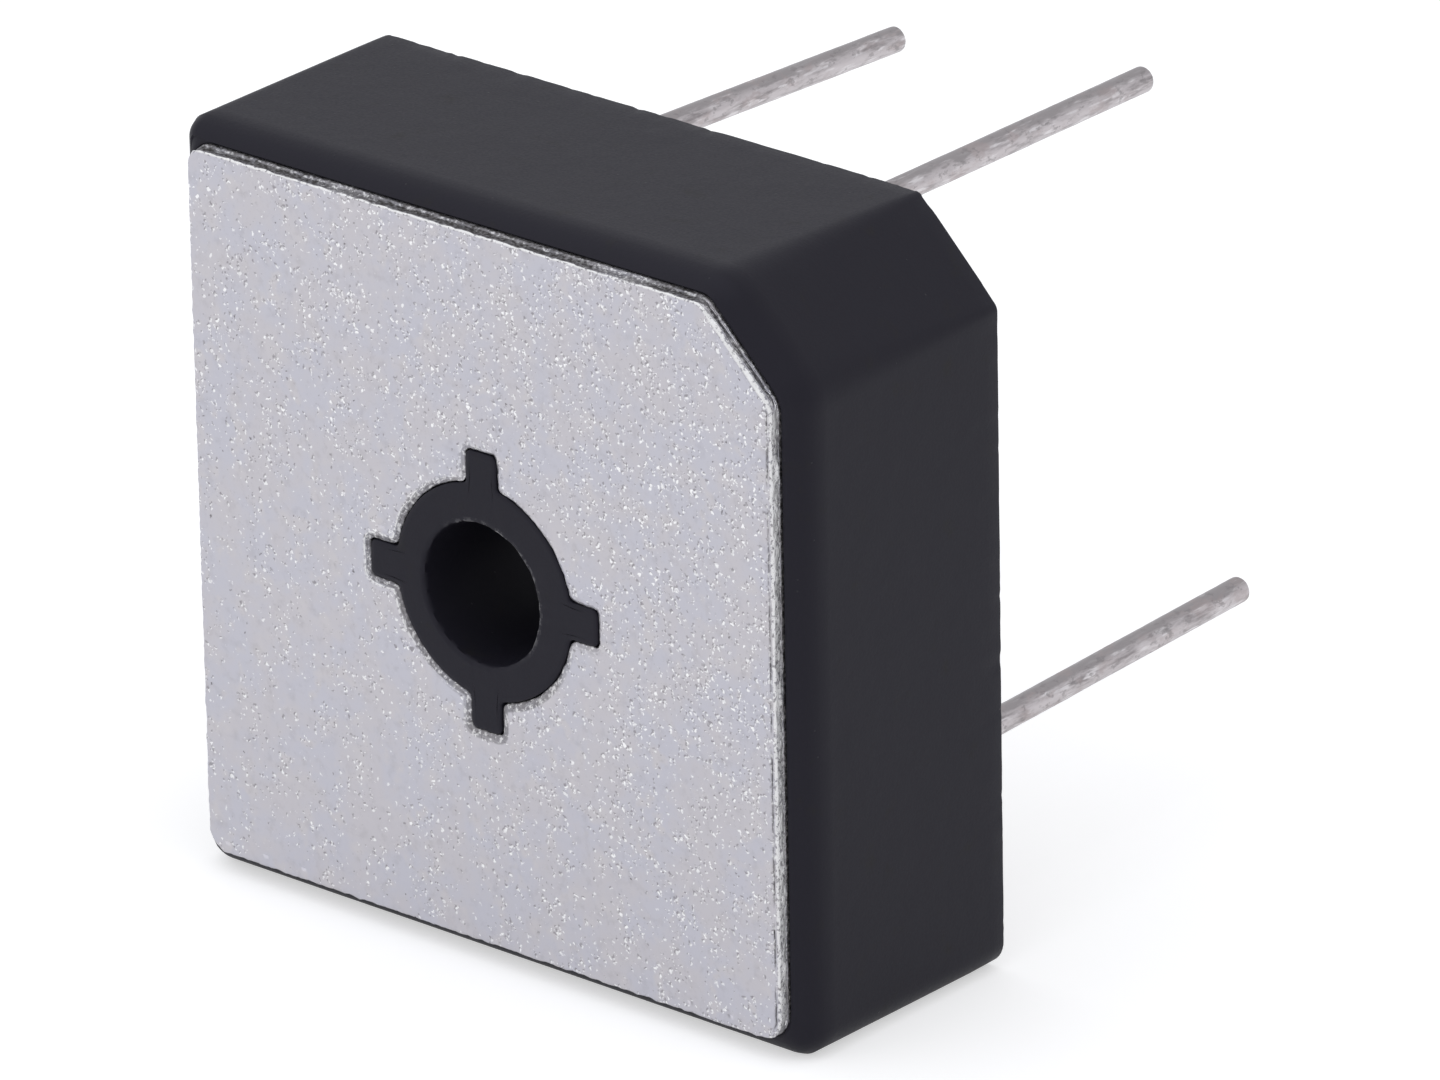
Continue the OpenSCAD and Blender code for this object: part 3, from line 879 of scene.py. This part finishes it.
def buildLead(mount, node, seed):
    s = leadShape
    axis = Vector(mount["axis"]).normalized()
    middle = Vector(mount["pos_m"]) / mm
    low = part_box(node)[0][1] / mm
    start = middle + axis * ((low + s["headThick"] / 2 - middle.y) / axis.y)
    length = (middle - start).length + mount["dims"]["length_mm"] / 2 - s["shorter"].get(node, 0.0)
    side = axis.cross(Vector((0, 0, 1))).normalized()
    up = side.cross(axis).normalized()
    clear = (fillingTop + s["clear"] - start.y) / axis.y
    # distances along the wire with its radius there
    stations = [(0.0, s["neck"])] + [(clear - below, s["neck"]) for below in s["neckEnds"]]
    first = clear + s["widened"]
    last = length - s["tipRound"]
    count = int((last - first) / s["step"])
    for k in range(count + 1):
        stations.append((first + (last - first) * k / count, s["radius"]))
    for k in range(1, 6):
        a = math.pi / 2 * k / 5
        stations.append((last + s["tipRound"] * math.sin(a), s["radius"] - s["tipRound"] * (1 - math.cos(a))))
    rings = []
    for at, radius in stations:
        ring = []
        for k in range(s["around"]):
            a = 2 * math.pi * k / s["around"]
            r = radius
            if at > clear:
                wide = 0.5 + 0.5 * wobble(math.cos(a) + seed, at * 0.5, math.sin(a), 0.8)
                small = 0.5 + 0.5 * wobble(math.cos(a), at + seed * 7, math.sin(a), 0.3)
                r -= s["dents"] * (wide + small)
            end = at
            if at > length - 0.1:
                uneven = 0.5 + 0.5 * wobble(math.cos(a) * radius, seed, math.sin(a) * radius, 0.5)
                end -= s["cropped"] * uneven
            ring.append(tuple(start + axis * end + (side * math.cos(a) + up * math.sin(a)) * r))
        rings.append(ring)
    points = [p for ring in rings for p in ring]
    faces = stripFaces(rings, False)
    n = s["around"]
    foot, tip = len(points), len(points) + 1
    points += [tuple(start), tuple(start + axis * (length - s["tipDome"]))]
    for k in range(n):
        faces.append((foot, k, (k + 1) % n))
        faces.append((tip, foot - n + (k + 1) % n, foot - n + k))
    # the nail head at the foot
    base = len(points)
    thick, wide, bevel = s["headThick"], s["headRadius"], s["headRound"]
    head = []
    for y, radius in ((0, wide - bevel), (bevel, wide), (thick - bevel, wide), (thick, wide - bevel)):
        head.append([(x, low + y, z) for x, z in circlePoints(start.x, start.z, radius, n)])
    points += [p for ring in head for p in ring]
    faces += [tuple(base + i for i in face) for face in stripFaces(head, False)]
    faces.append(tuple(base + k for k in range(n)))
    faces.append(tuple(base + 3 * n + k for k in range(n)))
    return points, faces


mounts = {m["name"]: m for m in frame["record"]["mounts"]}
leadLines = {}
for number, (mountName, node) in enumerate(leadNodes.items()):
    points, faces = buildLead(mounts[mountName], node, number * 3.7)
    addPiece("tinned_" + node, points, faces, wireMaterial, 60.0, node)
    axis = Vector(mounts[mountName]["axis"])
    middle = Vector(mounts[mountName]["pos_m"]) / mm
    atTop = middle + axis * ((fillingTop - middle.y) / axis.y)
    leadLines[node] = (atTop.x, atTop.z)
print("leads built")


skinShape = {
    "spacing": 0.45,
    "wireHole": 0.485,
    "closeRings": [0.08, 0.2, 0.36, 0.6],  # rings of points along every border, by their distance from it
    "gridFrom": 0.8,  # from the borders to the grid of points
    # how high the filling climbs, and how fast that fades
    "wallClimb": (0.28, 0.25),
    "bossClimb": (0.22, 0.22),
    "wireClimb": (0.35, 0.18),
    "above": 0.05,
    "swell": 0.035,
    "ripple": 0.012,
}


def buildSkin():
    s = skinShape
    c = caseShape
    half = c["half"] - c["wall"]
    cut = c["cut"] - roundLoss * c["wall"]
    bossRadius = bossShape["radius"]
    loops = [squareOutline(half, cut, c["cavityRound"])[::2], circlePoints(0, 0, bossRadius, 96)]
    loops += [circlePoints(x, z, s["wireHole"], 24) for x, z in leadLines.values()]
    borderPoints = []
    borderEdges = []
    for loop in loops:
        base = len(borderPoints)
        borderPoints += loop
        borderEdges += [(base + k, base + (k + 1) % len(loop)) for k in range(len(loop))]

    def gapTo(x, z):
        # distances to the wall, the boss and the nearest wire
        wall = min(half - abs(x), half - abs(z), (2 * half - cut - x - z) / math.sqrt(2))
        if wall < c["cavityRound"]:
            wall = min(wall, depthInside(x, z, half, cut, c["cavityRound"]))
        boss = math.hypot(x, z) - bossRadius
        wire = min(math.hypot(x - lx, z - lz) - s["wireHole"] for lx, lz in leadLines.values())
        return wall, boss, wire

    free = []
    for ring in s["closeRings"]:
        free += squareOutline(half - ring, cut - roundLoss * ring, max(c["cavityRound"] - ring, 0.1))[::2]
        free += circlePoints(0, 0, bossRadius + ring, 90, 0.5)
        for x, z in leadLines.values():
            free += circlePoints(x, z, s["wireHole"] + ring, 26)
    count = int(2 * half / s["spacing"])
    for i in range(count):
        for k in range(count):
            x = -half + (i + 0.5 + 0.25 * (k % 2)) * s["spacing"]
            z = -half + (k + 0.5) * s["spacing"]
            if min(gapTo(x, z)) > s["gridFrom"]:
                free.append((x, z))
    flat = [Vector(p) for p in borderPoints + free]
    verts, _, tris, _, _, _ = delaunay_2d_cdt(flat, borderEdges, [], 0, 1e-5)
    keep = []
    for tri in tris:
        x = sum(verts[i].x for i in tri) / 3
        z = sum(verts[i].y for i in tri) / 3
        wall, boss, wire = gapTo(x, z)
        if wall > 0.0 and boss > -0.02 and wire > -0.02:
            keep.append(tuple(tri))
    used = sorted({i for tri in keep for i in tri})
    newIndex = {old: new for new, old in enumerate(used)}
    points = []
    for i in used:
        x, z = verts[i].x, verts[i].y
        rise = 0.0
        for gap, (climb, fade) in zip(gapTo(x, z), (s["wallClimb"], s["bossClimb"], s["wireClimb"])):
            rise += climb * math.exp(-max(gap, 0) / fade)
        rise += s["above"] + s["swell"] * wobble(x, 0, z, 3.5) + s["ripple"] * wobble(x, 4, z, 1.0)
        points.append((x, fillingTop + rise, z))
    # a thin sheet: the same points again just inside the filling, and walls along the borders
    topCount = len(points)
    points += [(x, fillingTop - 0.01, z) for x, _, z in points]
    faces = [tuple(newIndex[i] for i in tri) for tri in keep]
    sides = [(tri[k - 1], tri[k]) for tri in faces for k in (1, 2, 0)]
    inner = {(b, a) for a, b in sides}
    walls = [(a, b, b + topCount, a + topCount) for a, b in sides if (a, b) not in inner]
    faces += [tuple(i + topCount for i in reversed(face)) for face in faces[:]]
    faces += walls
    return points, faces


skinPoints, skinFaces = buildSkin()
addPiece("fillingSkin", skinPoints, skinFaces, epoxyMaterial, 60.0)
print("filling skin built:", len(skinFaces), "faces")


innerSlots = {"insulator": "alumina", "busbar": "copperSheet", "strap": "copperSheet",
              "diode_chip": "siliconChip", "solder": "softSolder", "joint": "softSolder"}
innerMade = {name: innerMaterial(name) for name in innerFinishes}
for node, piece in frame["nodes"].items():
    chosen = epoxyMaterial if node == "potting_compound" else None
    for word, name in innerSlots.items():
        if word in node:
            chosen = innerMade[name]
    if chosen and piece.type == "MESH":
        piece.data.materials.clear()
        piece.data.materials.append(chosen)
print("inner pieces finished")


stageLook = {
    "floorHalf": 3.0,  # m
    "floorGrey": 0.70,
    "floorGlow": 0.50,  # keeps the floor near white where it is seen
    "glossyShare": 0.7,  # of the glow, in reflections
    "sky": (0.965, 0.97, 1.0, 1.0),
    "skyStrength": 0.80,
    "aim": (0, 0.01, 0),
    # where each lamp stands, its size, power and colour
    "lamps": {"topSoftbox": ((-0.15, -0.30, 0.80), 0.9, 1.25, (0.86, 0.92, 1.0)),
              "frontSoftbox": ((-0.60, -0.75, 0.35), 0.6, 0.5, (1.0, 1.0, 1.0))},
}


def addFloor():
    half = stageLook["floorHalf"]
    grey = stageLook["floorGrey"]
    low = cadBox[0][2]
    mesh = bpy.data.meshes.new("floor")
    corners = [(-half, -half, low), (half, -half, low), (half, half, low), (-half, half, low)]
    mesh.from_pydata(corners, [], [(0, 1, 2, 3)])
    floor = bpy.data.objects.new("floor", mesh)
    bpy.context.scene.collection.objects.link(floor)
    material, shader, place = newMaterial("paleFloor", {
        "Base Color": (grey, grey, grey, 1.0), "Roughness": 0.9, "Specular IOR Level": 0.0,
        "Emission Color": (1.0, 1.0, 1.0, 1.0)})
    seen = place.node("ShaderNodeLightPath", output="Is Camera Ray")
    seen = seen.largest(place.node("ShaderNodeLightPath", output="Is Transmission Ray"))
    seen = seen.largest(place.node("ShaderNodeLightPath", output="Is Glossy Ray") * stageLook["glossyShare"])
    feed(shader, "Emission Strength", seen * stageLook["floorGlow"])
    mesh.materials.append(material)


def addLamp(name, place, size, power, colour):
    lamp = bpy.data.lights.new(name, "AREA")
    lamp.shape = "SQUARE"
    lamp.size = size
    lamp.energy = power
    lamp.color = colour
    stand = bpy.data.objects.new(name, lamp)
    stand.location = place
    toAim = Vector(stageLook["aim"]) - Vector(place)
    stand.rotation_euler = toAim.to_track_quat("-Z", "Y").to_euler()
    bpy.context.scene.collection.objects.link(stand)


addFloor()
world = bpy.data.worlds.new("studio")
world.use_nodes = True
world.node_tree.nodes["Background"].inputs["Color"].default_value = stageLook["sky"]
world.node_tree.nodes["Background"].inputs["Strength"].default_value = stageLook["skyStrength"]
bpy.context.scene.world = world
for name, lamp in stageLook["lamps"].items():
    addLamp(name, *lamp)


# degrees, mm, and the lens in its own mm
cameraShape = {"azimuth": 41.0, "elevation": 22.92, "roll": -1.043, "distance": 500.155,
               "right": 8.254, "up": 1.855, "lens": 359.84}


def addCamera():
    c = cameraShape
    a, e, r = (math.radians(c[k]) for k in ("azimuth", "elevation", "roll"))
    back = Vector((math.sin(a) * math.cos(e), -math.cos(a) * math.cos(e), math.sin(e)))
    level = Vector((math.cos(a), math.sin(a), 0))
    upright = back.cross(level)
    right = level * math.cos(r) + upright * math.sin(r)
    up = upright * math.cos(r) - level * math.sin(r)
    place = (back * c["distance"] + right * c["right"] + up * c["up"]) * mm
    camera = bpy.data.objects.new("camera", bpy.data.cameras.new("camera"))
    camera.data.lens = c["lens"]
    camera.data.sensor_width = 36.0
    camera.data.sensor_fit = "HORIZONTAL"
    camera.data.clip_start = 0.01
    camera.data.clip_end = 20.0
    turned = Matrix((right, up, back)).transposed().to_4x4()
    turned.translation = place
    camera.matrix_world = turned
    bpy.context.scene.collection.objects.link(camera)
    bpy.context.scene.camera = camera


addCamera()
bpy.context.scene.view_settings.view_transform = "Standard"
print("stage ready")
